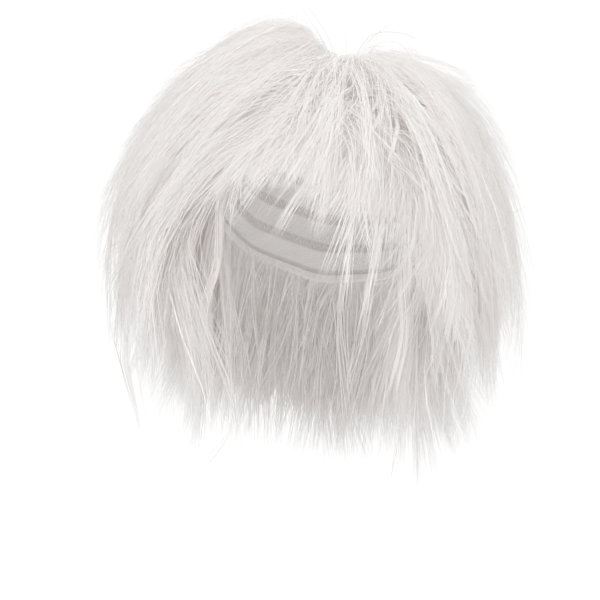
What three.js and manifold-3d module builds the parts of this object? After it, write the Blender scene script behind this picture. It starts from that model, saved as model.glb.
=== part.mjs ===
// A shaggy white clown wig: rows of long straight fibre sewn round a close-fitting cap.
// Millimetres, +Z up. The wearer faces -Y and the wearer's left is +X.
// The origin is the inside of the cap's crown, where it sits on top of the head.

import * as THREE from "three";
import { mergeVertices } from "three/addons/utils/BufferGeometryUtils.js";
import Module from "manifold-3d";

const wasm = await Module();
wasm.setup();

// The head that the cap fits: half an ellipsoid down to its widest level, and a slow taper below.
const headHalfWidth = 78;
const headHalfDepth = 97;
const crownHeight = 105;
const neckShare = 0.8; // width left at the level of the longest tips

// The cap's knitted wall, and the elastic hem along its rim.
const capWall = 2;
const hemWall = 3.4;
const hemWidth = 11;

// The hair, measured along the head from the crown.
const crownToTips = 292;
const fullLoft = 67; // thickest hair, beside the jaw
const lean = 7; // degrees that the free ends hang to the wearer's left
const faceSweep = 3; // degrees that the tips at the sides lie nearer to the face than their roots
const rootLead = 20; // how far above its roots a row starts to push the rows over it outwards
const rootRamp = 62; // how far it takes to do so in full
const endFade = 26; // how far past a row's tips the others take its room
const edgeFade = 14; // degrees past a row's side edge where they do

// Clearances between pieces.
const seam = 0.4; // between the cap and the roots
const rootLift = 0.5; // how far the roots' flat faces stand clear of that
const layerGap = 2.4; // between one row of hair and the next

// How finely the surfaces are faceted.
const columnStep = 12; // degrees
const capRows = 7;
const hairSteps = 9; // from the crown to the longest tips

// The cap's rim: how far it lies below the crown, as a share of crownHeight, on either side of the face.
const rimRows = [
  { azimuth: 0, drop: 0.45 },
  { azimuth: 30, drop: 0.5 },
  { azimuth: 45, drop: 0.74 },
  { azimuth: 57, drop: 1.02 },
  { azimuth: 70, drop: 1.04 },
  { azimuth: 86, drop: 0.9 },
  { azimuth: 110, drop: 0.98 },
  { azimuth: 140, drop: 1.2 },
  { azimuth: 180, drop: 1.3 },
];

// The hair's thickness over the cap, as shares of fullLoft. It is low along the parting, front to back.
const loftRows = [
  { along: 0, front: 0.2, side: 0.2, back: 0.2 },
  { along: 0.1, front: 0.3, side: 0.71, back: 0.36 },
  { along: 0.28, front: 0.36, side: 0.75, back: 0.66 },
  { along: 0.39, front: 0.36, side: 0.79, back: 0.74 },
  { along: 0.5, front: 0.36, side: 0.9, back: 0.78 },
  { along: 0.64, front: 0.4, side: 1, back: 0.8 },
  { along: 0.82, front: 0.4, side: 0.92, back: 0.78 },
  { along: 1, front: 0.3, side: 0.6, back: 0.6 },
];
const partingSharpness = 4;

// Where the fringe ends, as shares of crownToTips: open over the forehead, with one wisp in the middle.
const fringeEnds = [
  { azimuth: -60, end: 0.7 },
  { azimuth: -50, end: 0.5 },
  { azimuth: -40, end: 0.45 },
  { azimuth: -28, end: 0.42 },
  { azimuth: -16, end: 0.39 },
  { azimuth: -4, end: 0.37 },
  { azimuth: 6, end: 0.45 },
  { azimuth: 14, end: 0.38 },
  { azimuth: 24, end: 0.44 },
  { azimuth: 36, end: 0.5 },
  { azimuth: 50, end: 0.52 },
  { azimuth: 60, end: 0.7 },
];

// How far the crown's own hair reaches, as shares of crownToTips.
const crownEnds = [
  { azimuth: 0, end: 0.27 },
  { azimuth: 35, end: 0.31 },
  { azimuth: 60, end: 0.55 },
  { azimuth: 90, end: 0.74 },
  { azimuth: 180, end: 0.78 },
];

// The rows of hair from the innermost out. root and end are shares of crownToTips, from and to are azimuths,
// share is a row's part of the loft, hem is how far the joined hair goes before its locks part, as a share of
// its length, and sweep is how many degrees its tips lie round from its roots.
const hairRows = [
  { name: "hair_nape", from: 118, to: 242, root: 0.56, end: 0.98, share: 0.8, locks: 9, hem: 0.5, sweep: 4 },
  { name: "hair_lower", from: 52, to: 313, root: 0.45, end: 0.98, share: 1, locks: 17, hem: 0.6, sweep: -5 },
  { name: "hair_middle", from: 50, to: 314, root: 0.33, end: 0.92, share: 1, locks: 18, hem: 0.6, sweep: 6 },
  { name: "hair_upper", from: 48, to: 315, root: 0.21, end: 0.84, share: 1, locks: 19, hem: 0.6, sweep: -6 },
  { name: "fringe", from: -60, to: 60, root: 0.13, ends: fringeEnds, share: 1, locks: 13, hem: 0.6, sweep: -9 },
  { name: "hair_crown", from: 0, to: 360, root: 0, ends: crownEnds, share: 1, locks: 26, hem: 0.6, sweep: 8 },
];

// A lock across its width, in shares: how far each of its lines reaches past the hem, and how proud it stands.
const lockLines = [
  { across: 0, reach: 0, proud: 0.45 },
  { across: 0.24, reach: 0.66, proud: 0.85 },
  { across: 0.5, reach: 1, proud: 1 },
  { across: 0.76, reach: 0.66, proud: 0.85 },
];

// A row of hair along its length, in shares of its layer: how much its hair fills, and how far it clears the
// layer's inner side.
const rowForm = [
  { along: 0, fill: 0.6, clear: 0 },
  { along: 0.25, fill: 1, clear: 0 },
  { along: 0.7, fill: 0.95, clear: 0.1 },
  { along: 1, fill: 0.4, clear: 0.5 },
];
const endJitter = 0.06; // how much neighbouring locks differ in length
const tipJitter = 6; // degrees that their tips differ in direction

const capColour = 0xd9d5d0;
const hairColour = 0xe6e3e0;

const { clamp, degToRad, lerp, mapLinear } = THREE.MathUtils;
const quarterArc = ((Math.PI / 2) * (headHalfWidth + headHalfDepth + crownHeight)) / 3;

// The value of a table's column between two of its rows.
function lookUp(rows, key, at, column) {
  const next = rows.findIndex((row) => row[key] >= at);
  if (next < 1) return rows.at(next)[column];
  const [low, high] = rows.slice(next - 1, next + 1);
  return mapLinear(at, low[key], high[key], low[column], high[column]);
}

// An azimuth as -180 to 180 degrees from the face.
const fromFace = (azimuth) => ((((azimuth + 180) % 360) + 360) % 360) - 180;

// A repeatable number from -1 to 1.
function jitter(seed) {
  const wave = Math.sin(seed * 12.9898 + 4.1) * 43758.5453;
  return 2 * (wave - Math.floor(wave)) - 1;
}

// The point that lies rise outside the head, along from its crown.
function headPoint(azimuth, along, rise) {
  const turn = degToRad(azimuth);
  const tilt = (Math.min(along / quarterArc, 1) * Math.PI) / 2;
  const below = Math.max(0, along - quarterArc);
  const taper = lerp(1, neckShare, below / (crownToTips - quarterArc));
  const level = new THREE.Vector3(Math.sin(tilt) * Math.sin(turn), -Math.sin(tilt) * Math.cos(turn), Math.cos(tilt));
  const size = new THREE.Vector3(headHalfWidth * taper, headHalfDepth * taper, crownHeight);
  const out = level.clone().divide(size).normalize();
  const point = level.multiply(size).addScaledVector(out, rise);
  point.z -= crownHeight + below;
  return point;
}

// The same point for hair, whose free ends lean below the head's widest level.
function hairPoint(azimuth, along, rise) {
  const point = headPoint(azimuth, along, rise);
  point.x += Math.tan(degToRad(lean)) * Math.max(0, -crownHeight - point.z);
  return point;
}

// How far along the head the cap's rim lies.
function rimAlong(azimuth) {
  const drop = crownHeight * lookUp(rimRows, "azimuth", Math.abs(fromFace(azimuth)), "drop");
  if (drop > crownHeight) return quarterArc + drop - crownHeight;
  return (Math.acos(1 - drop / crownHeight) / (Math.PI / 2)) * quarterArc;
}

// The whole hair's thickness at a place on the head.
function loftAt(azimuth, along) {
  const share = along / crownToTips;
  const facing = Math.cos(degToRad(azimuth));
  const side = lookUp(loftRows, "along", share, "side");
  const end = lookUp(loftRows, "along", share, facing > 0 ? "front" : "back");
  return fullLoft * lerp(side, end, Math.abs(facing) ** partingSharpness);
}

// Where a row's tips end.
function rowEnd(row, azimuth) {
  if (!row.ends) return row.end * crownToTips;
  const symmetric = row.ends[0].azimuth === 0;
  const at = symmetric ? Math.abs(fromFace(azimuth)) : fromFace(azimuth);
  return lookUp(row.ends, "azimuth", at, "end") * crownToTips;
}

// How much of its share a row takes at a place: none above its roots, past its tips or beyond its sides.
function presence(row, azimuth, along) {
  const middle = (row.from + row.to) / 2;
  const beyond = Math.abs(fromFace(azimuth - middle)) - (row.to - row.from) / 2;
  const rooted = clamp((along - row.root * crownToTips + rootLead) / rootRamp, 0, 1);
  const ended = clamp((along - rowEnd(row, azimuth)) / endFade, 0, 1);
  return rooted * (1 - ended) * (1 - clamp(beyond / edgeFade, 0, 1));
}

// The heights over the head between which a row of hair lies at a place.
function layer(row, azimuth, along) {
  const parts = hairRows.map((other) => other.share * presence(other, azimuth, along));
  const total = parts.reduce((sum, part) => sum + part, 0) || 1;
  const under = parts.slice(0, hairRows.indexOf(row)).reduce((sum, part) => sum + part, 0);
  const loft = loftAt(azimuth, along) / total;
  const inner = capWall + seam + rootLift + loft * under;
  const depth = loft * parts[hairRows.indexOf(row)] - layerGap;
  return { inner, outer: inner + Math.max(depth, layerGap) };
}

// A closed surface through rings of points. Each ring is as many points out as back, so its ends close
// as a strip across it.
function loft(rings, closed = false) {
  const size = rings[0].length;
  const index = [];
  const quad = (a, b, c, d) => index.push(a, b, c, a, c, d);
  for (let r = 0; r < (closed ? rings.length : rings.length - 1); r++) {
    const here = r * size;
    const there = ((r + 1) % rings.length) * size;
    for (let i = 0; i < size; i++) {
      const j = (i + 1) % size;
      quad(here + i, here + j, there + j, there + i);
    }
  }
  const last = (rings.length - 1) * size;
  for (let i = 0; !closed && i < size / 2 - 1; i++) {
    const back = size - 1 - i;
    quad(i, back, back - 1, i + 1);
    quad(last + i, last + i + 1, last + back - 1, last + back);
  }
  const positions = rings.flat().flatMap((point) => point.toArray());
  return new THREE.BufferGeometry()
    .setAttribute("position", new THREE.Float32BufferAttribute(positions, 3))
    .setIndex(index);
}

// A geometry as a solid, with its shared points merged and the faces that vanish at a point left out.
function toSolid(geometry) {
  const merged = mergeVertices(geometry, 1e-4);
  const faces = [];
  for (let i = 0; i < merged.index.count; i += 3) {
    const [a, b, c] = merged.index.array.slice(i, i + 3);
    if (a !== b && b !== c && a !== c) faces.push(a, b, c);
  }
  return new wasm.Manifold(
    new wasm.Mesh({
      numProp: 3,
      vertProperties: merged.attributes.position.array,
      triVerts: new Uint32Array(faces),
    }),
  );
}

function toMesh(name, solid, colour) {
  const { vertProperties, triVerts } = solid.getMesh();
  const geometry = new THREE.BufferGeometry()
    .setAttribute("position", new THREE.BufferAttribute(vertProperties, 3))
    .setIndex(new THREE.BufferAttribute(triVerts, 1));
  const material = new THREE.MeshStandardMaterial({ color: colour, roughness: 0.45, metalness: 0, flatShading: true });
  const mesh = new THREE.Mesh(geometry, material);
  mesh.name = name;
  return mesh;
}

// A wall over the head. Each of its columns gives the places along the head that it passes, and the points on
// its outer and inner faces there.
function wall(columns, closed) {
  const rings = columns.map(({ places, outer, inner }) => [
    ...places.map(outer),
    ...places.map(inner).reverse(),
  ]);
  return toSolid(loft(rings, closed));
}

// Azimuths from one to another in steps, with the last left out if they go all round.
function azimuths(from, to, count) {
  const round = to - from === 360;
  return Array.from({ length: round ? count : count + 1 }, (_, i) => lerp(from, to, i / count));
}

// The places from one to another along the head, both included.
const places = (start, stop, steps) => Array.from({ length: steps + 1 }, (_, i) => lerp(start, stop, i / steps));

// The places where every row of hair may bend, so that the rows' faces nest.
const bends = places(0, crownToTips, hairSteps);

// The cap: a thin dome with a thicker elastic hem inside its rim.
function cap() {
  const columns = azimuths(0, 360, Math.round(360 / columnStep)).map((azimuth) => {
    const rim = rimAlong(azimuth);
    return {
      places: [...places(0, rim - hemWidth, capRows), rim],
      outer: (along) => headPoint(azimuth, along, capWall),
      inner: (along) => headPoint(azimuth, along, along < rim ? 0 : capWall - hemWall),
    };
  });
  return wall(columns, true);
}

// Everything within the cap's outer face and the seam round it, to just below its rim: no hair reaches into it.
function keepOut() {
  const columns = azimuths(0, 360, Math.round(360 / columnStep)).map((azimuth) => {
    const rim = rimAlong(azimuth);
    const outer = (along) => headPoint(azimuth, along, capWall + seam);
    return {
      places: [...places(0, rim - hemWidth, capRows), rim, rim + hemWall],
      outer,
      inner: (along) => new THREE.Vector3(0, 0, outer(along).z),
    };
  });
  return wall(columns, true);
}

// One line down a row of hair: where it starts and ends, and its outer and inner faces.
function hairLine(row, number, line) {
  const pitch = (row.to - row.from) / row.locks;
  const root = row.from + pitch * (number + line.across);
  const seed = number + 50 * hairRows.indexOf(row);
  const start = row.root * crownToTips;
  const tip = rowEnd(row, root) * (1 + endJitter * jitter(seed));
  const hem = lerp(start, rowEnd(row, root), row.hem);
  const stop = lerp(hem, tip, line.reach);
  const at = (along) => {
    const share = (along - start) / (tip - start);
    const forward = faceSweep * Math.sin(degToRad(root));
    const astray = line.reach * tipJitter * jitter(seed + 9) * share;
    const azimuth = root + (row.sweep - forward + astray) * share ** 2;
    const { inner, outer } = layer(row, azimuth, along);
    const bottom = lerp(inner, outer, lookUp(rowForm, "along", share, "clear"));
    const proud = lerp(1, line.proud, Math.sqrt(share));
    const top = lerp(bottom, outer, proud * lookUp(rowForm, "along", share, "fill"));
    return { azimuth, bottom, top };
  };
  const point = (face) => (along) => {
    const place = at(along);
    return hairPoint(place.azimuth, along, place[face]);
  };
  return {
    places: [start, ...bends.map((along) => clamp(along, start, stop)), stop],
    outer: point("top"),
    inner: point("bottom"),
  };
}

// One row of hair: a wall whose lower edge parts into pointed locks, clear of the cap.
function hairRow(row, head) {
  const closed = row.to - row.from === 360;
  const columns = [];
  for (let number = 0; number < row.locks; number++) {
    for (const line of lockLines) columns.push(hairLine(row, number, line));
  }
  if (!closed) columns.push(hairLine(row, row.locks, lockLines[0]));
  return wall(columns, closed).subtract(head);
}

const wig = new THREE.Group();
wig.name = "clown_wig";
wig.add(toMesh("cap", cap(), capColour));
const head = keepOut();
for (const row of hairRows) wig.add(toMesh(row.name, hairRow(row, head), hairColour));

export default wig;
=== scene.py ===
"""Looks for a shaggy white clown wig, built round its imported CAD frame.

Hair is described as the CAD describes it, over the head that the cap fits: azimuth in degrees round the head
from the face towards the wearer's left, along in millimetres over the head from the crown, and rise in
millimetres outside it. Meshes are made in metres, in the frame's own axes: +Z up, the wearer facing -Y.
"""

import math

import bpy
import numpy as np
from mathutils import Matrix, Vector

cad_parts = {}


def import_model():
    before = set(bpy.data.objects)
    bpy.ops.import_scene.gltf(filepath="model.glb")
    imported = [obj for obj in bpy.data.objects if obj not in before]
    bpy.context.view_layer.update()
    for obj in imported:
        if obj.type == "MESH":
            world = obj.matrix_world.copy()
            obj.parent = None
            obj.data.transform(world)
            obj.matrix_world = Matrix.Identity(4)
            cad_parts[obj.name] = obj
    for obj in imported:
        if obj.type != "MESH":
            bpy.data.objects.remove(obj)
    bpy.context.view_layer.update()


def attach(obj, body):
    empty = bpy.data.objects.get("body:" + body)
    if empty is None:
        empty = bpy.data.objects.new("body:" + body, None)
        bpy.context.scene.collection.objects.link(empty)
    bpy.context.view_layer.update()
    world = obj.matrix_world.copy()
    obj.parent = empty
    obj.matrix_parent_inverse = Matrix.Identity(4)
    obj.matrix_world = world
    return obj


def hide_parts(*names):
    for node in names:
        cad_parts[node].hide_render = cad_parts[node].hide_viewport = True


MM = 0.001

# The head, the cap and the hair over them, with the CAD's own values in millimetres and degrees.
HEAD_HALF_WIDTH = 78
HEAD_HALF_DEPTH = 97
CROWN_HEIGHT = 105
NECK_SHARE = 0.8
CAP_WALL = 2
HEM_WALL = 3.4
HEM_WIDTH = 11
CROWN_TO_TIPS = 292
FULL_LOFT = 67
LEAN = 7
FACE_SWEEP = 3
ROOT_LEAD = 20
ROOT_RAMP = 62
END_FADE = 26
EDGE_FADE = 14
PARTING_SHARPNESS = 4
QUARTER_ARC = math.pi / 2 * (HEAD_HALF_WIDTH + HEAD_HALF_DEPTH + CROWN_HEIGHT) / 3

# The cap's rim: azimuth, and how far it lies below the crown as a share of CROWN_HEIGHT.
RIM = (
    (0, 0.45),
    (30, 0.5),
    (45, 0.74),
    (57, 1.02),
    (70, 1.04),
    (86, 0.9),
    (110, 0.98),
    (140, 1.2),
    (180, 1.3),
)

# The hair's thickness: along as a share of CROWN_TO_TIPS, then shares of FULL_LOFT in front, beside and
# behind.
LOFT = (
    (0, 0.2, 0.2, 0.2),
    (0.1, 0.3, 0.71, 0.36),
    (0.28, 0.36, 0.75, 0.66),
    (0.39, 0.36, 0.79, 0.74),
    (0.5, 0.36, 0.9, 0.78),
    (0.64, 0.4, 1, 0.8),
    (0.82, 0.4, 0.92, 0.78),
    (1, 0.3, 0.6, 0.6),
)

# Where the fringe and the crown's hair end in the CAD, and where their longest strands do: azimuth and share
# of CROWN_TO_TIPS.
FRINGE_ENDS = (
    (-60, 0.7),
    (-50, 0.5),
    (-40, 0.45),
    (-28, 0.42),
    (-16, 0.39),
    (-4, 0.37),
    (6, 0.45),
    (14, 0.38),
    (24, 0.44),
    (36, 0.5),
    (50, 0.52),
    (60, 0.7),
)
FRINGE_TIPS = (
    (-60, 0.7),
    (-50, 0.5),
    (-40, 0.45),
    (-28, 0.42),
    (-16, 0.4),
    (-4, 0.39),
    (6, 0.46),
    (14, 0.42),
    (24, 0.5),
    (36, 0.58),
    (50, 0.62),
    (60, 0.7),
)
CROWN_ENDS = ((0, 0.27), (35, 0.31), (60, 0.55), (90, 0.74), (180, 0.78))
CROWN_TIPS = ((0, 0.4), (35, 0.44), (60, 0.58), (90, 0.74), (180, 0.78))

# The rows of hair from the innermost out.
#   start, stop: azimuths that the row spans
#   root, ends, tips: where it roots, where its solid ends and where its longest strands end, as shares of
#     CROWN_TO_TIPS
#   share: its part of the loft
#   sweep, part: degrees round that tips lie from their roots, and how many more the front's are parted by
#   front: degrees by which the locks crowd towards the face
#   band, crowded: how far down the roots are spread, and the power by which they crowd towards the first
#   reach, loose: the shortest and longest lock as shares of the row's length, and how much longer stray wisps
#     are
#   height, depth, core: how high in the row strands lie near their roots and tips, how much that varies, and
#     how high the ribbons lie
#   flick: the least and most that the tips of locks stand out, in millimetres
#   gather: how much closer a lock's wisps, and a wisp's strands, lie at their tips than at their roots
#   shade, glints, width: the fibre's shade, the share of strands that are glossy, and a strand's width in
#     millimetres. The shade is painted shade set row by row: darkest in the low rows, lightest in the crown
#   locks, strands, ribbons, segments: how many there are
ROWS = (
    dict(
        name="hair_nape", start=118, stop=242, root=0.56, ends=0.98, tips=0.98, share=0.8, sweep=4, part=0,
        front=0, band=0.05, crowded=0.8, reach=(0.75, 1.03), loose=1, height=(0.1, 0.4), depth=1,
        core=0.75, flick=(0, 8), gather=(0.6, 0.8), shade=0.1, glints=0.14, width=0.46,
        locks=40, strands=1300, ribbons=700, segments=6,
    ),
    dict(
        name="hair_lower", start=52, stop=313, root=0.45, ends=0.98, tips=0.98, share=1, sweep=-5, part=0,
        front=0, band=0.12, crowded=0.8, reach=(0.7, 1.04), loose=1, height=(0.5, 0.75), depth=0.9,
        core=0.4, flick=(0, 12), gather=(0.6, 0.8), shade=0.12, glints=0.14, width=0.44,
        locks=64, strands=3400, ribbons=1200, segments=6,
    ),
    dict(
        name="hair_middle", start=50, stop=314, root=0.33, ends=0.92, tips=0.92, share=1, sweep=6, part=0,
        front=0, band=0.18, crowded=0.8, reach=(0.5, 1.05), loose=1, height=(0.55, 0.8), depth=0.75,
        core=0.35, flick=(0, 20), gather=(0.5, 0.7), shade=0.2, glints=0.12, width=0.4,
        locks=72, strands=3900, ribbons=1100, segments=6,
    ),
    dict(
        name="hair_upper", start=48, stop=315, root=0.21, ends=0.84, tips=0.84, share=1, sweep=-6, part=0,
        front=0, band=0.22, crowded=0.8, reach=(0.42, 1.05), loose=1, height=(0.65, 0.85), depth=0.6,
        core=0.3, flick=(0, 26), gather=(0.5, 0.65), shade=0.42, glints=0.08, width=0.36,
        locks=80, strands=4000, ribbons=1000, segments=7,
    ),
    dict(
        name="fringe", start=-60, stop=60, root=0.13, ends=FRINGE_ENDS, tips=FRINGE_TIPS, share=1, sweep=-14,
        part=8, front=0, band=0.15, crowded=0.8, reach=(0.82, 1.15), loose=1.3, height=(0.7, 0.85),
        depth=0.45, core=0.3, flick=(-2, 5), gather=(0.35, 0.55), shade=0.3, glints=0.04, width=0.34,
        locks=48, strands=3800, ribbons=200, segments=7,
    ),
    dict(
        name="hair_crown", start=0, stop=360, root=0.01, ends=CROWN_ENDS, tips=CROWN_TIPS, share=1, sweep=-10,
        part=42, front=20, band=0.33, crowded=1.4, reach=(0.35, 1.05), loose=1, height=(0.85, 0.88),
        depth=0.35, core=0.3, flick=(0, 26), gather=(0.5, 0.65), shade=0.54, glints=0.04, width=0.34,
        locks=110, strands=4250, ribbons=600, segments=8,
    ),
)
LEAST_TOTAL = 0.2  # of the rows' parts of the loft at a place, so that none is divided by nothing
LEAST_PART = 0.15  # of the loft that a row takes where its strands lie, past its solid's ends too

# Where the tips of rows whose ends are one share hang, by degrees from the face, as shares of those ends.
HANG = (
    (-180, 1),
    (-125, 0.99),
    (-98, 0.92),
    (-75, 0.93),
    (-52, 1.02),
    (0, 1),
    (52, 1),
    (80, 0.94),
    (105, 0.91),
    (135, 0.97),
    (180, 1),
)

# How strands vary: by what each shares with its lock, what with its wisp, and what is its own.
WISPS_IN_LOCK = 6
ROOT_SPREAD = (0, 0.5, 0.25)  # shares of a lock's pitch
ASTRAY = (11, 7, 2.5)  # degrees at the tip
HEIGHT = (0.2, 0.16, 0.08)  # shares of the row's thickness
REACH = (0, 0.13, 0.09)  # shares of the length
FLICK = (1, 3, 2)  # millimetres at the tip
SHADE = (0.02, 0.08, 0.07)
WAVES_ROUND = ((9, 0.5), (3, 0.8))  # millimetres at the tip and turns, of locks and of wisps
WAVES_OUT = ((2.5, 0.5), (2, 0.8))
WISP_RADIUS = 2.4  # millimetres
WISP_FLATNESS = 0.6  # a wisp's thickness as a share of its breadth
MOST_SPREAD = 2  # wisp radii
WIDTH_SPREAD = (0.6, 1.4)  # shares of the row's width of strand

# Where strands root and how long they are.
FIRST_ROOT = 2  # millimetres
LAST_ROOT = 0.6  # share of the way to the tip
ROOT_JITTER = 2  # millimetres
ROOT_INSIDE_RIM = 8  # millimetres, at most
LEAST_REACH = 0.3  # share of the row's length
REACH_MARGIN = 0.05  # how far past its row's longest lock a strand may reach

# How a strand's path runs from its root on the cap to its tip.
PATH_POINTS = 26
PATH_SMOOTHING = 4
ROOT_CROWDING = 1.35  # how much closer a path's points lie near its root
ROOT_RISE = 20  # millimetres along which a strand climbs to its place
SWEEP_CENTRE = 0.3  # how much of the sweep is taken back at the root
SWEEP_CURVE = 0.8  # the power by which the sweep grows to the tip
WHORL_SHIFT = -6  # millimetres, towards the wearer's right
WHORL_REACH = 60  # millimetres along, over which the shift fades

# How tips stand out, and how much less they do away from the sides and on the wearer's left.
FLICK_RARITY = 4  # the power by which few locks flick far
FLICK_CURVE = 4  # the power by which a flick grows to the tip
FLATTER_IN_FRONT = 0.93  # share of a flick that is lost at the face and at the back
FRONT_CURVE = 3
LOWER_ON_LEFT = 0.55  # share of a strand's height in its row that is lost near its root
FLATTER_ON_LEFT = 0.3
MOST_PROUD = 12  # millimetres outside the hair's form
LESS_PROUD_IN_FRONT = 0.65  # share of that which is lost away from the sides

# Wisps that stray from their locks, and strands and wisps that shine, painted lighter as highlights.
STRAY_SHARE = 0.09  # of the wisps
STRAY_ASTRAY = 10  # degrees
STRAY_FLICK = 14  # millimetres
STRAY_WIDTH = 1.5
BRIGHT_SHARE = 0.04  # of the wisps
# Bright wisps and glossy strands take these light shades as painted highlights.
BRIGHT_SHADE = (0.85, 1)
GLINT_WIDTH = 2
GLINT_ROLL = 1.2  # how far round a glossy strand may be turned

# Broad ribbons of fibre that fill the rows under their strands.
RIBBON_WIDTH = 4.2  # millimetres
RIBBON_SEGMENTS = 5
RIBBON_SPREAD = 0.3  # share of the strands' spread in height
RIBBON_SPAN = 0.84  # share of the row's degrees round
RIBBON_REACH = 0.8  # share of the strands' length

# How wide and thick a strand is along it.
MOST_THICKNESS = 0.5  # millimetres
ROOT_WIDTH = 0.4  # share of its greatest
ROOT_TAPER = 0.15  # how far along the strand it grows
TIP_TAPER = 0.6  # how much narrower the tip is
TAPER_CURVE = 2

SEED = 11

# Single strands that stand off the rest: how many there are, and the points in millimetres from the root on.
FLYAWAY_WIDTH = 0.75
FLYAWAY_SEGMENTS = 12
FLYAWAYS = (
    (1, (-2, -6, 4), (-11, -8, 24), (-21, -9, 37), (-31, -10, 47)),
    (1, (-4, -12, 4), (-17, -14, 26), (-25, -15, 35), (-34, -16, 45)),
    (1, (-1, -3, 3), (-6, -4, 16), (-10, -5, 25)),
    (1, (0, -2, 4), (14, -4, 29), (27, -5, 44)),
    (1, (1, -6, 3), (0, -8, 24), (-5, -9, 38)),
    (1, (7, -12, 8), (22, -20, 28), (36, -22, 30), (46, -24, 21), (51, -27, 8)),
    (1, (10, -8, 6), (26, -12, 24), (42, -14, 24), (54, -18, 14), (60, -24, -4)),
    (1, (2, -4, 4), (14, -8, 32), (33, -10, 38), (48, -12, 35)),
    (1, (54, -26, -6), (50, -26, 12), (45, -27, 26), (44, -27, 40)),
    (1, (-10, -14, 8), (-30, -16, 31), (-48, -18, 32), (-70, -22, 24)),
    (1, (-10, -18, 14), (-20, -20, 29), (-33, -22, 36), (-44, -24, 36)),
    (1, (-28, -20, 20), (-50, -26, 33), (-72, -30, 24), (-90, -34, 2)),
    (1, (-60, -10, 12), (-86, -12, 4), (-108, -14, -16), (-120, -16, -40)),
    (1, (60, -20, 4), (84, -24, 0), (103, -28, -18), (112, -30, -40)),
    (1, (100, -20, -40), (116, -24, -56), (128, -26, -52)),
    (1, (108, -18, -62), (126, -22, -70), (138, -24, -63)),
    (2, (116, -22, -66), (132, -24, -88), (144, -26, -126)),
    (1, (104, -34, -80), (124, -38, -110), (136, -40, -146)),
    (3, (60, -68, -76), (63, -75, -106), (60, -78, -140), (55, -76, -162)),
    (
        2, (-52, -62, -150), (-57, -60, -180), (-42, -60, -207), (-31, -58, -236), (-39, -56, -257),
        (-49, -54, -268),
    ),
    (3, (76, -48, -150), (78, -50, -191), (80, -52, -231), (80, -50, -257)),
    (22, (-52, -74, -62), (-60, -82, -86), (-54, -84, -132), (-58, -80, -160), (-58, -76, -190)),
    (16, (56, -80, -50), (66, -86, -80), (66, -84, -120), (74, -78, -160), (72, -72, -200)),
)
FLYAWAY_SPREAD = 3.4
# The flyaways take darker shades than the rest: painted shade, so that they show grey against the white
# surround.
FLYAWAY_SHADES = (0, 0.5)

# The cap's finish, in millimetres where nothing else is said: a knit that wefts of hair are sewn to in rings,
# a ribbed elastic hem, and the thread that sews them.
RIM_ROUNDING = 7  # degrees
RIM_SAMPLES = 9
CAP_COLUMNS = 144
CAP_START = 0.03  # share of the way from the crown to the hem at which its first ring of points lies
OUTSIDE_ROWS = 24
WEFTS = 9
STEPS_TO_WEFT = 6
WEFT_SHARE = 0.22  # how far a weft's ridge reaches to each side, as a share of the space between wefts
WEFT_RIDGE = 1.2
HEM_RIBS = 200
COLUMNS_TO_RIB = 3
HEM_RIB = 0.22
HEM_SECTION = 14  # points round it
HEM_SQUARENESS = 0.6  # power, at which 1 is an ellipse and less is squarer
STITCH_LINE_POINTS = 721
STITCH_PITCH = 2.4
STITCH_REACH = 1.8
STITCH_WIDTH = 0.75
THREAD_SHADE = 0.5
WALES = 230  # stitches round the cap
COURSES = 120  # stitches over it

# The chart that the fibre's colours are laid out on: a strand's shade across it, and its length up it.
CHART = "OFBake"
STRAND_ON_CHART = 0.03  # a strand's breadth on it
ROOT_ON_CHART = 0.004  # a root face's height on it

# The fibre: the tones of its shades, its streaks on the chart, its roughness by shade, and a faint painted
# glow, emission that stands for the light that passes through it and lightens the shade between strands.
# The darker low end of these tones gives the low rows their painted shade.
FIBRE_TONES = ((0, (0.84, 0.82, 0.81)), (0.5, (0.98, 0.969, 0.962)), (1, (0.998, 0.996, 0.994)))
FIBRE_STREAK = (0.98, 0.977, 0.975)
STREAKS_ON_CHART = (1400, 9, 1)
GLOSSY_SHADES = (0.4, 0.9)  # shades over which the roughness falls
FIBRE_ROUGHNESS = (0.36, 0.14)
GLOW_TINT = (1, 0.97, 0.95, 1)
FIBRE_GLOW = 0.03

# The cap's knit, with painted shade between its stitches, and its elastic.
KNIT_TONES_AND_SHADE = ((0.1, (0.93, 0.92, 0.91)), (0.55, (0.985, 0.98, 0.975)))
# Along each weft the knit is darker: partly the weft's own tone, partly painted shade along its ridge.
WEFT_TONE_AND_SHADE = (0.78, 0.76, 0.75)
WEFT_EDGE = (0.3, 0.8)  # cosines over which the weft's tint comes in
ELASTIC_TONES = ((0.3, (0.92, 0.91, 0.9)), (0.7, (0.97, 0.965, 0.96)))
WEAVE_ON_CHART = (HEM_RIBS, 14, 1)

# The camera: the photograph's scale and framing, in millimetres and degrees on the wearer's own axes.
FRAME_PX = 600
MM_PER_PX = 0.665
CAMERA_DISTANCE = 3000
CAMERA_AZIMUTH = 4.5
HEAD_TILT = 9.26
AIM = (-0.7, -40, -149.8)
CLIP_END = 20  # metres

# The studio: lights with their places and sizes in metres and their watts, a surround, and a floor.
LIGHTS = (
    ("left", (-1.2, -2.1, 0.55), 1.1, 14),
    ("right", (1.2, -2.1, 0.55), 1.1, 12),
    ("front", (0.2, -2.6, -0.05), 0.3, 3.2),
    ("behind", (-0.3, 1.9, 1.6), 1.4, 7),
)
LIT_MIDDLE = (0, 0, -0.12)
SURROUND_SEEN = 1.02  # strength, behind the wig
SURROUND_AS_LIGHT = (0.2, 0.8)  # from below and from above
MOST_BOUNCES = 24
FLOOR_LEVEL = -1500  # millimetres
FLOOR_RADIUS = 6  # metres
FLOOR_SIDES = 96


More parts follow.
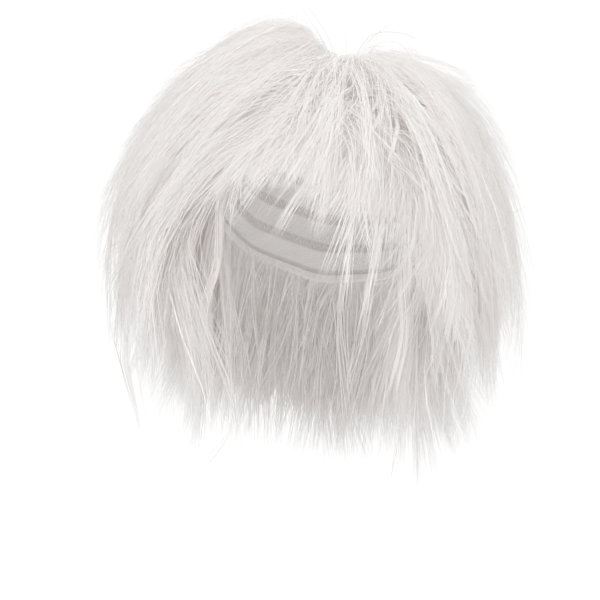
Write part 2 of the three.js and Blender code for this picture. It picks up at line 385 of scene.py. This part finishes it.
def look_up(rows, at, column=1):
    """A table's column between two of its rows, by its first column."""
    rows = np.asarray(rows, float)
    return np.interp(at, rows[:, 0], rows[:, column])


def from_face(azimuth):
    """An azimuth as -180 to 180 degrees from the face."""
    return (azimuth + 180) % 360 - 180


def unit(vectors):
    """Vectors made one long."""
    return vectors / np.maximum(np.linalg.norm(vectors, axis=-1, keepdims=True), 1e-12)


def head_frame(azimuth, along):
    """A place on the head, and the directions out of it and round it."""
    turn = np.radians(azimuth)
    tilt = np.minimum(along / QUARTER_ARC, 1) * math.pi / 2
    below = np.maximum(0, along - QUARTER_ARC)
    taper = 1 + (NECK_SHARE - 1) * below / (CROWN_TO_TIPS - QUARTER_ARC)
    level = np.stack(
        np.broadcast_arrays(np.sin(tilt) * np.sin(turn), -np.sin(tilt) * np.cos(turn), np.cos(tilt)), -1
    )
    size = np.stack(
        np.broadcast_arrays(HEAD_HALF_WIDTH * taper, HEAD_HALF_DEPTH * taper, float(CROWN_HEIGHT)), -1
    )
    place = level * size
    place[..., 2] -= CROWN_HEIGHT + below
    side = np.stack(np.broadcast_arrays(np.cos(turn), np.sin(turn), 0 * turn), -1)
    return place, unit(level / size), side


def leaned(points):
    """Points of hair, whose free ends hang to the wearer's left below the head's widest level."""
    points = points.copy()
    points[..., 0] += math.tan(math.radians(LEAN)) * np.maximum(0, -CROWN_HEIGHT - points[..., 2])
    return points


def rim_along(azimuth):
    """How far along the head the cap's rim lies."""
    drop = look_up(RIM, np.abs(from_face(azimuth)))
    on_dome = np.arccos(1 - np.minimum(drop, 1)) / (math.pi / 2) * QUARTER_ARC
    return np.where(drop > 1, QUARTER_ARC + (drop - 1) * CROWN_HEIGHT, on_dome)


def soft_rim(azimuth):
    """The rim with its corners rounded."""
    nearby = np.linspace(-RIM_ROUNDING, RIM_ROUNDING, RIM_SAMPLES)
    return rim_along(np.asarray(azimuth, float)[..., None] + nearby).mean(-1)


def loft_at(azimuth, along):
    """The whole hair's thickness."""
    share = along / CROWN_TO_TIPS
    facing = np.cos(np.radians(azimuth))
    end = np.where(facing > 0, look_up(LOFT, share, 1), look_up(LOFT, share, 3))
    side = look_up(LOFT, share, 2)
    return FULL_LOFT * (side + (end - side) * np.abs(facing) ** PARTING_SHARPNESS)


def end_along(ends, azimuth):
    """How far along the head hair ends, from one share of CROWN_TO_TIPS or a table of them."""
    at = from_face(azimuth)
    if not isinstance(ends, tuple):
        return ends * CROWN_TO_TIPS * look_up(HANG, at)
    if ends[0][0] == 0:
        at = np.abs(at)
    return look_up(ends, at) * CROWN_TO_TIPS


def presence(row, azimuth, along):
    """How much of its share a row takes at a place."""
    middle = (row["start"] + row["stop"]) / 2
    beyond = np.abs(from_face(azimuth - middle)) - (row["stop"] - row["start"]) / 2
    rooted = np.clip((along - row["root"] * CROWN_TO_TIPS + ROOT_LEAD) / ROOT_RAMP, 0, 1)
    ended = np.clip((along - end_along(row["ends"], azimuth)) / END_FADE, 0, 1)
    return rooted * (1 - ended) * (1 - np.clip(beyond / EDGE_FADE, 0, 1))


def layer(index, azimuth, along):
    """The heights between which a row of hair lies."""
    parts = [row["share"] * presence(row, azimuth, along) for row in ROWS]
    total = np.maximum(sum(parts), LEAST_TOTAL)
    loft = loft_at(azimuth, along) / total
    inner = CAP_WALL + loft * sum(parts[:index])
    return inner, inner + loft * np.maximum(parts[index], LEAST_PART)


def smoothed(paths, times):
    """Paths with their bends rounded, between ends that stay."""
    paths = paths.copy()
    for _ in range(times):
        paths[:, 1:-1] = (paths[:, :-2] + 2 * paths[:, 1:-1] + paths[:, 2:]) / 4
    return paths


def resampled(paths, shares):
    """Points of paths at shares of their points."""
    at = shares * (paths.shape[1] - 1)
    before = np.minimum(at.astype(int), paths.shape[1] - 2)
    part = (at - before)[:, None]
    return paths[:, before] * (1 - part) + paths[:, before + 1] * part


class Clumps:
    """Strands gathered in wisps, which are gathered in locks, and numbers drawn for them."""

    def __init__(self, rng, locks, strands):
        self.rng = rng
        self.locks = locks
        self.wisps = locks * WISPS_IN_LOCK
        self.wisp = rng.integers(self.wisps, size=strands)
        self.lock = self.wisp // WISPS_IN_LOCK

    def parts(self, spreads):
        """Each strand's share of numbers drawn for its lock, for its wisp and for itself."""
        normal = self.rng.normal
        return (
            normal(0, 1, self.locks)[self.lock] * spreads[0],
            normal(0, 1, self.wisps)[self.wisp] * spreads[1],
            normal(0, 1, len(self.wisp)) * spreads[2],
        )

    def uniform(self, low, high, power=1):
        """A number for each lock, given to its strands."""
        return low + (high - low) * self.rng.uniform(0, 1, self.locks)[self.lock] ** power

    def waves(self, share, waves):
        """Bends that grow towards the tips, of each strand's lock and of its wisp."""
        bend = 0
        for (size, turns), owner, owners in zip(waves, (self.lock, self.wisp), (self.locks, self.wisps)):
            phase = self.rng.uniform(0, 2 * math.pi, owners)[owner, None]
            bend = bend + size * share * np.sin(phase + 2 * math.pi * turns * share)
        return bend


class Growth:
    """One row's fine strands, or the ribbons under them, laid out in steps that each draw their numbers."""

    def __init__(self, row, rng, ribbons):
        self.row = row
        self.rng = rng
        self.ribbons = ribbons
        self.count = row["ribbons"] if ribbons else row["strands"]
        self.clumps = Clumps(rng, row["locks"], self.count)
        self.share = np.linspace(0, 1, PATH_POINTS)[None, :] ** ROOT_CROWDING
        self.stray = self.of_wisps(rng.random(self.clumps.wisps) < STRAY_SHARE) & (not ribbons)
        self.lie_round()
        self.lie_along()
        self.lie_out()
        self.run()

    def of_wisps(self, numbers):
        """Numbers drawn for wisps, given to their strands."""
        return numbers[self.clumps.wisp]

    def lie_round(self):
        """Azimuths: locks are spread over the row, and what is in them gathers towards the tips."""
        row, share = self.row, self.share
        pitch = (row["stop"] - row["start"]) / row["locks"]
        locks = row["start"] + pitch * (np.arange(row["locks"]) + self.rng.uniform(0, 1, row["locks"]))
        if self.ribbons:
            middle = (row["start"] + row["stop"]) / 2
            locks = middle + RIBBON_SPAN * (locks - middle)
        else:
            locks = locks - row["front"] * np.sin(np.radians(locks))
        lock_azimuth = locks[self.clumps.lock]
        _, wisp_round, own_round = self.clumps.parts(ROOT_SPREAD)
        astray = sum(self.clumps.parts(ASTRAY))
        strayed = self.of_wisps(self.rng.normal(0, STRAY_ASTRAY, self.clumps.wisps))
        astray = astray + np.where(self.stray, strayed, 0)
        facing = (1 + np.cos(np.radians(lock_azimuth))) / 2
        self.sideways = np.sin(np.radians(lock_azimuth))
        turn = row["sweep"] + (row["part"] * facing - FACE_SWEEP) * self.sideways + astray
        lock_pinch, wisp_pinch = row["gather"]
        spread = wisp_round[:, None] * (1 - lock_pinch * share)
        spread = spread + own_round[:, None] * (1 - wisp_pinch * share)
        sweep = turn[:, None] * (share ** SWEEP_CURVE - SWEEP_CENTRE)
        self.azimuth = lock_azimuth[:, None] + pitch * spread + sweep

    def lie_along(self):
        """Lengths: where each strand roots and stops."""
        row, rng = self.row, self.rng
        first = CROWN_TO_TIPS * row["root"]
        down = self.of_wisps(rng.uniform(0, 1, self.clumps.wisps)) ** row["crowded"]
        start = first + CROWN_TO_TIPS * row["band"] * down
        start = start + rng.uniform(-ROOT_JITTER, ROOT_JITTER, self.count)
        reach = self.clumps.uniform(*row["reach"]) + sum(self.clumps.parts(REACH))
        reach = np.clip(reach, LEAST_REACH, row["reach"][1] + REACH_MARGIN)
        reach = reach * np.where(self.stray, row["loose"], RIBBON_REACH if self.ribbons else 1)
        self.end = end_along(row["tips"], self.azimuth[:, -1])
        stop = first + (self.end - first) * reach
        start = np.minimum(np.maximum(start, FIRST_ROOT), first + LAST_ROOT * (stop - first))
        inside_rim = rim_along(self.azimuth[:, 0]) - ROOT_INSIDE_RIM * rng.uniform(0, 1, self.count)
        self.start = np.minimum(start, inside_rim)
        self.along = self.start[:, None] + (stop - self.start)[:, None] * self.share

    def flicks(self):
        """How far each tip stands out, in millimetres."""
        sideways = self.sideways
        flick = self.clumps.uniform(*self.row["flick"], FLICK_RARITY) + sum(self.clumps.parts(FLICK))
        strayed = self.of_wisps(self.rng.uniform(0, STRAY_FLICK, self.clumps.wisps))
        flick = flick + np.where(self.stray, strayed, 0)
        flick = flick * (1 - FLATTER_IN_FRONT * (1 - np.abs(sideways) ** FRONT_CURVE))
        return flick * (1 - FLATTER_ON_LEFT * np.maximum(0, sideways))

    def lie_out(self):
        """Rises: a strand climbs from the cap to its height within the row."""
        row, share = self.row, self.share
        low, high = row["height"]
        spread = row["depth"] * sum(self.clumps.parts(HEIGHT))
        if self.ribbons:
            height = row["core"] + RIBBON_SPREAD * spread[:, None] + 0 * share
        else:
            height = np.clip(low + (high - low) * share + spread[:, None], 0, 1)
        height = height * (1 - LOWER_ON_LEFT * np.maximum(0, self.sideways)[:, None] * (1 - share))
        inner, outer = layer(ROWS.index(row), self.azimuth, np.minimum(self.along, self.end[:, None]))
        self.climbed = 1 - (1 - np.clip((self.along - self.start[:, None]) / ROOT_RISE, 0, 1)) ** 2
        rise = CAP_WALL + (inner + (outer - inner) * height - CAP_WALL) * self.climbed
        self.rise = rise + self.flicks()[:, None] * share ** FLICK_CURVE * (not self.ribbons)

    def run(self):
        """Paths in millimetres, and the directions out of the head and round it halfway along them."""
        share = self.share
        place, out, side = head_frame(self.azimuth, self.along)
        own = np.clip(self.rng.normal(0, 1, (2, self.count, 1)), -MOST_SPREAD, MOST_SPREAD)
        own = own * WISP_RADIUS * (1 - self.row["gather"][1] * share)
        rise = self.rise + WISP_FLATNESS * own[0] * self.climbed * (not self.ribbons)
        rise = np.maximum(rise + self.clumps.waves(share, WAVES_OUT), CAP_WALL)
        form = CAP_WALL + loft_at(self.azimuth, self.along)
        most = MOST_PROUD * (1 - LESS_PROUD_IN_FRONT * (1 - np.abs(self.sideways)))[:, None]
        rise = np.minimum(rise, form + most * np.tanh(np.maximum(0, rise - form) / most))
        beside = own[1] + self.clumps.waves(share, WAVES_ROUND)
        self.paths = leaned(place + out * rise[..., None] + side * beside[..., None])
        self.paths[..., 0] += WHORL_SHIFT * np.clip(1 - self.along / WHORL_REACH, 0, 1)
        self.out = out[:, PATH_POINTS // 2]
        self.side = side[:, PATH_POINTS // 2]


def grow(row, rng, ribbons):
    """One row's strands or ribbons: their points, side directions, widths, shades and places along them."""
    laid = Growth(row, rng, ribbons)
    count = laid.count
    shares = np.linspace(0, 1, (RIBBON_SEGMENTS if ribbons else row["segments"]) + 1)
    points = resampled(smoothed(laid.paths, PATH_SMOOTHING), shares)
    width = (RIBBON_WIDTH if ribbons else row["width"]) * rng.uniform(*WIDTH_SPREAD, count)
    glint = (rng.random(count) < row["glints"]) & (not ribbons)
    roll = rng.uniform(-GLINT_ROLL, GLINT_ROLL, count) * glint
    width = width * np.where(laid.stray, STRAY_WIDTH, np.where(glint, GLINT_WIDTH, 1))
    # The row's shade is painted shade: darker in the low rows, lighter towards the crown.
    shade = np.clip(row["shade"] + sum(laid.clumps.parts(SHADE)), 0, 1)
    bright = (laid.of_wisps(rng.random(laid.clumps.wisps)) < BRIGHT_SHARE) & (not ribbons)
    # Bright wisps and glossy strands are painted lighter: painted highlights, on top of their lower
    # roughness.
    shade = np.where(bright | glint, rng.uniform(*BRIGHT_SHADE, count), shade)
    side = laid.side + laid.out * roll[:, None]
    return points, side, width, shade, np.repeat(shares[None, :] ** ROOT_CROWDING, count, 0)


def curve_through(points, count):
    """Points of a smooth curve through others."""
    points = np.asarray(points, float)
    slopes = np.gradient(points, axis=0)
    at = np.linspace(0, len(points) - 1, count)
    before = np.minimum(at.astype(int), len(points) - 2)
    part = (at - before)[:, None]
    chord = points[before + 1] - points[before]
    bend = part * (1 - part) * ((slopes[before] - chord) * (1 - part) + (chord - slopes[before + 1]) * part)
    return points[before] + chord * part + bend


def flyaways(rng):
    """The single strands that stand off the rest."""
    paths = []
    for copies, *through in FLYAWAYS:
        path = curve_through(through, FLYAWAY_SEGMENTS + 1)
        drift = rng.uniform(-FLYAWAY_SPREAD, FLYAWAY_SPREAD, (copies, 2, 3)) * (copies > 1)
        share = np.linspace(0, 1, FLYAWAY_SEGMENTS + 1)[:, None]
        paths.extend(path + near * (1 - share) + far * share for near, far in drift)
    points = np.array(paths)
    count = len(points)
    side = np.repeat([[0.0, 1.0, 0.0]], count, 0)
    shares = np.repeat(np.linspace(0, 1, FLYAWAY_SEGMENTS + 1)[None, :], count, 0)
    return points, side, np.full(count, FLYAWAY_WIDTH), rng.uniform(*FLYAWAY_SHADES, count), shares


def chart_corners(*corners):
    """The chart points of faces, one corner after another, from where each corner lies across and up."""
    points = [np.stack(np.broadcast_arrays(across, up), -1) for across, up in corners]
    return np.stack(points, -2).reshape(-1, 2)


def strand_mesh(name, points, side, width, shade, share):
    """Strands as closed three-sided tubes that taper to their tips, a broad side outwards, in one mesh."""
    count, ends = share.shape
    rings = ends - 1
    tangent = unit(np.gradient(points, axis=1))
    across = unit(np.cross(tangent, side[:, None, :]))
    beside = np.cross(tangent, across)
    profile = np.clip(ROOT_WIDTH + share / ROOT_TAPER, 0, 1) * (1 - TIP_TAPER * share ** TAPER_CURVE)
    breadth = width[:, None] * profile / math.sqrt(3)
    depth = np.minimum(breadth, MOST_THICKNESS / 2)
    corners = []
    for corner in range(3):
        angle = math.pi / 3 + 2 * math.pi * corner / 3
        spoke = across * (math.cos(angle) * depth)[..., None]
        spoke = spoke + beside * (math.sin(angle) * breadth)[..., None]
        corners.append((points + spoke)[:, :rings])
    body = np.stack(corners, 2).reshape(count, rings * 3, 3)
    vertices = np.concatenate([body, points[:, -1:]], 1)

    first = (np.arange(count) * (rings * 3 + 1))[:, None, None]
    ring = np.arange(rings - 1)[None, :, None] * 3
    corner = np.arange(3)[None, None, :]
    following = (corner + 1) % 3
    low_ring = first + ring
    quads = np.stack(
        [low_ring + corner, low_ring + following, low_ring + 3 + following, low_ring + 3 + corner], -1
    ).reshape(-1, 4)
    last = 3 * (rings - 1)
    tips = np.stack(
        [first + last + corner, first + last + following, first + rings * 3 + 0 * corner], -1
    ).reshape(-1, 3)
    roots = (first[:, 0] + np.array([0, 2, 1])).reshape(-1, 3)

    facet = STRAND_ON_CHART / 3
    left = (shade * (1 - STRAND_ON_CHART))[:, None, None] + facet * corner
    low = share[:, : rings - 1, None]
    high = share[:, 1:rings, None]
    before = share[:, rings - 1, None, None]
    base = left[:, 0, 0]
    charts = [
        chart_corners((left, low), (left + facet, low), (left + facet, high), (left, high)),
        chart_corners((left, before), (left + facet, before), (left + facet / 2, 1)),
        chart_corners((base, 0), (base + facet, 0), (base + facet / 2, ROOT_ON_CHART)),
    ]
    return make_mesh(
        name,
        vertices.reshape(-1, 3),
        quads,
        np.concatenate([tips, roots]),
        np.concatenate(charts),
        smooth=False,
    )


def make_mesh(name, vertices, quads, triangles, chart, smooth=True):
    """An object from arrays of points in millimetres, faces, and a chart point for each corner."""
    mesh = bpy.data.meshes.new(name)
    corners = np.concatenate([quads.ravel(), triangles.ravel()])
    starts = np.concatenate([np.arange(len(quads)) * 4, quads.size + np.arange(len(triangles)) * 3])
    mesh.vertices.add(len(vertices))
    mesh.loops.add(len(corners))
    mesh.polygons.add(len(starts))
    mesh.vertices.foreach_set("co", (vertices * MM).astype(np.float32).ravel())
    mesh.loops.foreach_set("vertex_index", corners.astype(np.int32))
    mesh.polygons.foreach_set("loop_start", starts.astype(np.int32))
    mesh.polygons.foreach_set("use_smooth", np.full(len(starts), smooth))
    mesh.uv_layers.new(name=CHART, do_init=False).uv.foreach_set("vector", chart.astype(np.float32).ravel())
    mesh.update(calc_edges=True)
    piece = bpy.data.objects.new(name, mesh)
    bpy.context.scene.collection.objects.link(piece)
    return piece


def ring_mesh(name, rings, round_too=False):
    """Rings of points joined in turn: the last to the first too, or each end closed at its middle."""
    rows, columns = rings.shape[:2]
    row = np.arange(rows if round_too else rows - 1)[:, None]
    column = np.arange(columns)[None, :]
    after, beside = (row + 1) % rows * columns, (column + 1) % columns
    quads = np.stack(
        [row * columns + column, row * columns + beside, after + beside, after + column], -1
    ).reshape(-1, 4)
    left, right = column / columns, (column + 1) / columns
    low, high = row / rows, (row + 1) / rows
    chart = chart_corners((left, low), (right, low), (right, high), (left, high))
    vertices = rings.reshape(-1, 3)
    if round_too:
        return make_mesh(name, vertices, quads, np.zeros((0, 3), int), chart)
    middles = np.array([rings[0].mean(0), rings[-1].mean(0)])
    near = np.arange(columns)
    far = (near + 1) % columns
    last = (rows - 1) * columns
    start_fan = np.stack([far, near, np.full(columns, len(vertices))], -1)
    end_fan = np.stack([last + near, last + far, np.full(columns, len(vertices) + 1)], -1)
    fans = []
    for level, left, right in ((0, near + 1, near), (1, near, near + 1)):
        edge, middle = level * (rows - 1) / rows, level * (rows - 0.5) / rows
        fans.append(
            chart_corners((left / columns, edge), (right / columns, edge), ((near + 0.5) / columns, middle))
        )
    return make_mesh(
        name,
        np.concatenate([vertices, middles]),
        quads,
        np.concatenate([start_fan, end_fan]),
        np.concatenate([chart, *fans]),
    )


def head_point(azimuth, along, rise):
    """The point that lies rise outside the head."""
    place, out, _ = head_frame(azimuth, along)
    return place + out * np.asarray(rise, float)[..., None]


def cap_shell():
    """The knitted cap, with a ridge inside it along each weft."""
    azimuth = np.arange(CAP_COLUMNS)[None, :] * 360 / CAP_COLUMNS
    reach = soft_rim(azimuth) - HEM_WIDTH / 2
    inside = np.linspace(CAP_START, 1, WEFTS * STEPS_TO_WEFT + 1)[:, None]
    outside = np.linspace(1, CAP_START, OUTSIDE_ROWS)[:, None]
    off_weft = np.abs((inside * WEFTS + 0.5) % 1 - 0.5) / WEFT_SHARE
    ridge = WEFT_RIDGE * np.clip(1 - off_weft ** 2, 0, 1)
    share = np.concatenate([inside, outside])
    rise = np.concatenate([-ridge, np.full_like(outside, CAP_WALL)])
    return ring_mesh("cap_shell", head_point(azimuth, reach * share, rise + 0 * azimuth))


def cap_hem():
    """The elastic hem, ribbed across its width."""
    columns = HEM_RIBS * COLUMNS_TO_RIB
    azimuth = np.arange(columns)[None, :] * 360 / columns
    angle = np.arange(HEM_SECTION)[:, None] * 2 * math.pi / HEM_SECTION
    rib = HEM_RIB * np.cos(np.radians(azimuth) * HEM_RIBS)
    middle = soft_rim(azimuth) - HEM_WIDTH / 2
    across = np.sign(np.cos(angle)) * np.abs(np.cos(angle)) ** HEM_SQUARENESS
    through = np.sign(np.sin(angle)) * np.abs(np.sin(angle)) ** HEM_SQUARENESS
    along = middle + across * HEM_WIDTH / 2
    rise = HEM_WALL / 2 + through * (HEM_WALL / 2 + rib)
    return ring_mesh("cap_hem", head_point(azimuth, along, rise), round_too=True)


def cap_stitches():
    """The thread inside the cap that zigzags along each weft and along the hem."""
    starts, ends = [], []
    lines = [(weft / WEFTS, 0, -WEFT_RIDGE) for weft in range(1, WEFTS)]
    lines.append((1, HEM_WIDTH / 2 - STITCH_REACH, -HEM_RIB))
    lines.append((1, STITCH_REACH - HEM_WIDTH / 2, -HEM_RIB))
    for share, shift, rise in lines:
        around = np.linspace(0, 360, STITCH_LINE_POINTS)
        middle = (soft_rim(around) - HEM_WIDTH / 2) * share + shift
        line = head_point(around, middle, rise)
        travelled = np.concatenate([[0], np.cumsum(np.linalg.norm(np.diff(line, axis=0), axis=1))])
        count = 2 * int(travelled[-1] / STITCH_PITCH / 2)
        azimuth = np.interp(np.arange(count + 1) / count * travelled[-1], travelled, around)
        middle = (soft_rim(azimuth) - HEM_WIDTH / 2) * share + shift
        zigzag = head_point(azimuth, middle + STITCH_REACH * (-1) ** np.arange(count + 1), rise)
        starts.append(zigzag[:-1])
        ends.append(zigzag[1:])
    starts, ends = np.concatenate(starts)[:, None], np.concatenate(ends)[:, None]
    share = np.linspace(0, 1, 3)[None, :]
    points = starts + (ends - starts) * share[..., None]
    count = len(points)
    side = unit(np.cross(points[:, 1], [0, 0, 1]))
    return strand_mesh(
        "cap_stitches",
        points,
        side,
        np.full(count, STITCH_WIDTH),
        np.full(count, THREAD_SHADE),
        np.repeat(share, count, 0),
    )


def new_material(name, **sockets):
    """A material with one Principled shader, and its node tree's helpers."""
    material = bpy.data.materials.new(name)
    material.use_nodes = True
    shader = material.node_tree.nodes["Principled BSDF"]
    for socket, value in sockets.items():
        shader.inputs[socket.replace("_", " ")].default_value = value
    return material, material.node_tree, shader


def add_node(tree, kind, links=(), **values):
    """A node with values on its properties or sockets, fed by (socket, output) links."""
    node = tree.nodes.new(kind)
    for name, value in values.items():
        if hasattr(node, name):
            setattr(node, name, value)
        else:
            node.inputs[name.replace("_", " ")].default_value = value
    for socket, output in links:
        tree.links.new(output, node.inputs[socket])
    return node


def set_ramp(ramp, stops):
    """A colour ramp's stops, as (place, colour)."""
    elements = ramp.color_ramp.elements
    while len(elements) < len(stops):
        elements.new(0.5)
    for element, (place, colour) in zip(elements, stops):
        element.position = place
        element.color = (*colour, 1)


def add_range(tree, output, start, stop, low=0, high=1):
    """A number taken from the range of start to stop over to that of low to high."""
    return add_node(
        tree,
        "ShaderNodeMapRange",
        [("Value", output)],
        From_Min=start,
        From_Max=stop,
        To_Min=low,
        To_Max=high,
    ).outputs["Result"]


def add_noise(tree, chart, scale, detail):
    """Noise that is stretched over the chart."""
    stretched = add_node(tree, "ShaderNodeMapping", [("Vector", chart.outputs["UV"])], Scale=scale)
    return add_node(
        tree, "ShaderNodeTexNoise", [("Vector", stretched.outputs["Vector"])], Scale=1, Detail=detail
    ).outputs["Fac"]


def add_wave(tree, output, turns, kind):
    """The sine or cosine of a chart coordinate, over so many turns."""
    angle = add_node(tree, "ShaderNodeMath", [(0, output)], operation="MULTIPLY")
    angle.inputs[1].default_value = 2 * math.pi * turns
    return add_node(tree, "ShaderNodeMath", [(0, angle.outputs[0])], operation=kind).outputs[0]


def add_tint(tree, shader, factor, colour, tint):
    """A shader's colour: an output, multiplied by a tint as far as the factor says."""
    mixed = add_node(
        tree, "ShaderNodeMix", [("Factor", factor), (6, colour)], data_type="RGBA", blend_type="MULTIPLY"
    )
    mixed.inputs[7].default_value = (*tint, 1)
    tree.links.new(mixed.outputs[2], shader.inputs["Base Color"])


def add_bump(tree, shader, height, strength, distance):
    """A shader's relief, from an output and a depth in metres."""
    bump = add_node(tree, "ShaderNodeBump", [("Height", height)], Strength=strength, Distance=distance)
    tree.links.new(bump.outputs["Normal"], shader.inputs["Normal"])


def fibre_material():
    """Fine glossy white fibre: each strand has its own shade, with streaks along it."""
    # The emission is a painted glow that stands for light passing through the fibre.
    material, tree, shader = new_material(
        "white_fibre", Roughness=0.34, IOR=1.5, Emission_Color=GLOW_TINT, Emission_Strength=FIBRE_GLOW
    )
    chart = add_node(tree, "ShaderNodeUVMap", uv_map=CHART)
    split = add_node(tree, "ShaderNodeSeparateXYZ", [("Vector", chart.outputs["UV"])])
    tone = add_node(tree, "ShaderNodeValToRGB", [("Fac", split.outputs["X"])])
    set_ramp(tone, FIBRE_TONES)
    streak = add_noise(tree, chart, STREAKS_ON_CHART, 3)
    add_tint(tree, shader, streak, tone.outputs["Color"], FIBRE_STREAK)
    gloss = add_range(tree, split.outputs["X"], *GLOSSY_SHADES, *FIBRE_ROUGHNESS)
    tree.links.new(gloss, shader.inputs["Roughness"])
    add_bump(tree, shader, streak, 0.25, 0.0002)
    return material


def knit_material():
    """A matt white knit: crossed rows of stitches, with painted shade between them."""
    material, tree, shader = new_material("cap_knit", Roughness=0.8, Sheen_Weight=0.3, Specular_IOR_Level=0.3)
    chart = add_node(tree, "ShaderNodeUVMap", uv_map=CHART)
    split = add_node(tree, "ShaderNodeSeparateXYZ", [("Vector", chart.outputs["UV"])])
    wales = add_wave(tree, split.outputs["X"], WALES, "SINE")
    courses = add_wave(tree, split.outputs["Y"], COURSES, "SINE")
    crossed = add_node(tree, "ShaderNodeMath", [(0, wales), (1, courses)], operation="MULTIPLY")
    level = add_range(tree, crossed.outputs[0], -1, 1)
    # The knit is darker where it lies low between stitches: painted shade.
    tone = add_node(tree, "ShaderNodeValToRGB", [("Fac", level)])
    set_ramp(tone, KNIT_TONES_AND_SHADE)
    shell_rows = WEFTS * STEPS_TO_WEFT + 1 + OUTSIDE_ROWS
    weft = add_wave(tree, split.outputs["Y"], shell_rows / STEPS_TO_WEFT, "COSINE")
    # The darker band along each weft: partly the weft's own tone, partly painted shade along its ridge.
    add_tint(tree, shader, add_range(tree, weft, *WEFT_EDGE), tone.outputs["Color"], WEFT_TONE_AND_SHADE)
    add_bump(tree, shader, level, 0.6, 0.0005)
    return material


def elastic_material():
    """White elastic with a fine weave between its ribs."""
    material, tree, shader = new_material("cap_elastic", Roughness=0.6)
    chart = add_node(tree, "ShaderNodeUVMap", uv_map=CHART)
    weave = add_noise(tree, chart, WEAVE_ON_CHART, 2)
    tone = add_node(tree, "ShaderNodeValToRGB", [("Fac", weave)])
    set_ramp(tone, ELASTIC_TONES)
    tree.links.new(tone.outputs["Color"], shader.inputs["Base Color"])
    add_bump(tree, shader, weave, 0.5, 0.0003)
    return material


def make_cap():
    """The cap in place of the CAD's: its knit, its hem and the thread that sews them."""
    elastic = elastic_material()
    for piece, material in ((cap_shell(), knit_material()), (cap_hem(), elastic), (cap_stitches(), elastic)):
        piece.data.materials.append(material)
        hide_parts("cap")
        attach(piece, "root")


def make_hair(material):
    """Each row of the CAD's hair, as loose strands in the space of its node, and the flyaways."""
    for number, row in enumerate(ROWS):
        for kind, ribbons in (("strands", False), ("ribbons", True)):
            rng = np.random.default_rng(SEED + number)
            piece = strand_mesh(f"{row['name']}_{kind}", *grow(row, rng, ribbons))
            piece.data.materials.append(material)
            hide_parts(row["name"])
            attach(piece, "root")
    loose = strand_mesh("flyaways", *flyaways(np.random.default_rng(SEED)))
    loose.data.materials.append(material)
    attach(loose, "root")


def make_camera():
    """A long lens in front of the face, tilted as the head is in the photograph."""
    azimuth = math.radians(CAMERA_AZIMUTH)
    back = Vector((math.sin(azimuth), -math.cos(azimuth), 0))
    level = Vector((math.cos(azimuth), math.sin(azimuth), 0))
    upright = back.cross(level)
    tilt = math.radians(HEAD_TILT)
    right = level * math.cos(tilt) + upright * math.sin(tilt)
    up = back.cross(right)
    camera = bpy.data.objects.new("camera", bpy.data.cameras.new("camera"))
    place = Vector(AIM) * MM + back * CAMERA_DISTANCE * MM
    camera.matrix_world = Matrix.Translation(place) @ Matrix((right, up, back)).transposed().to_4x4()
    camera.data.sensor_fit = "HORIZONTAL"
    camera.data.angle = 2 * math.atan(FRAME_PX * MM_PER_PX / 2 / CAMERA_DISTANCE)
    camera.data.clip_end = CLIP_END
    bpy.context.scene.collection.objects.link(camera)
    bpy.context.scene.camera = camera


def make_light(name, place, size, power):
    """A soft square light that faces the wig's middle."""
    lamp = bpy.data.lights.new(name, "AREA")
    lamp.size = size
    lamp.energy = power
    light = bpy.data.objects.new(name, lamp)
    light.location = place
    light.rotation_euler = (Vector(LIT_MIDDLE) - Vector(place)).to_track_quat("-Z", "Y").to_euler()
    bpy.context.scene.collection.objects.link(light)


def make_world():
    """A white surround, a little brighter to the camera than as light."""
    world = bpy.data.worlds.new("surround")
    bpy.context.scene.world = world
    world.use_nodes = True
    tree = world.node_tree
    seen = tree.nodes["Background"]
    seen.inputs["Color"].default_value = (1, 1, 1, 1)
    seen.inputs["Strength"].default_value = SURROUND_SEEN
    direction = add_node(tree, "ShaderNodeTexCoord")
    split = add_node(tree, "ShaderNodeSeparateXYZ", [("Vector", direction.outputs["Generated"])])
    level = add_range(tree, split.outputs["Z"], -1, 1, *SURROUND_AS_LIGHT)
    lit = add_node(tree, "ShaderNodeBackground", [("Strength", level)], Color=(1, 1, 1, 1))
    path = add_node(tree, "ShaderNodeLightPath")
    both = add_node(tree, "ShaderNodeMixShader", [("Fac", path.outputs["Is Camera Ray"])])
    tree.links.new(lit.outputs[0], both.inputs[1])
    tree.links.new(seen.outputs[0], both.inputs[2])
    tree.links.new(both.outputs[0], tree.nodes["World Output"].inputs["Surface"])


def make_floor():
    """A pale floor well below the wig."""
    bpy.ops.mesh.primitive_circle_add(
        vertices=FLOOR_SIDES, radius=FLOOR_RADIUS, fill_type="NGON", location=(0, 0, FLOOR_LEVEL * MM)
    )
    floor = bpy.context.object
    floor.name = "floor"
    material, _, _ = new_material("floor", Base_Color=(0.97, 0.97, 0.97, 1), Roughness=0.8)
    floor.data.materials.append(material)


def set_light_paths():
    """Enough bounces for light that goes deep among white strands."""
    cycles = bpy.context.scene.cycles
    cycles.max_bounces = MOST_BOUNCES
    cycles.diffuse_bounces = MOST_BOUNCES
    cycles.glossy_bounces = MOST_BOUNCES // 2


def main():
    """Dresses the frame and sets the studio round it."""
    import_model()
    make_camera()
    make_hair(fibre_material())
    make_cap()
    make_floor()
    make_world()
    for light in LIGHTS:
        make_light(*light)
    set_light_paths()
    bpy.context.scene.view_settings.view_transform = "Standard"


main()
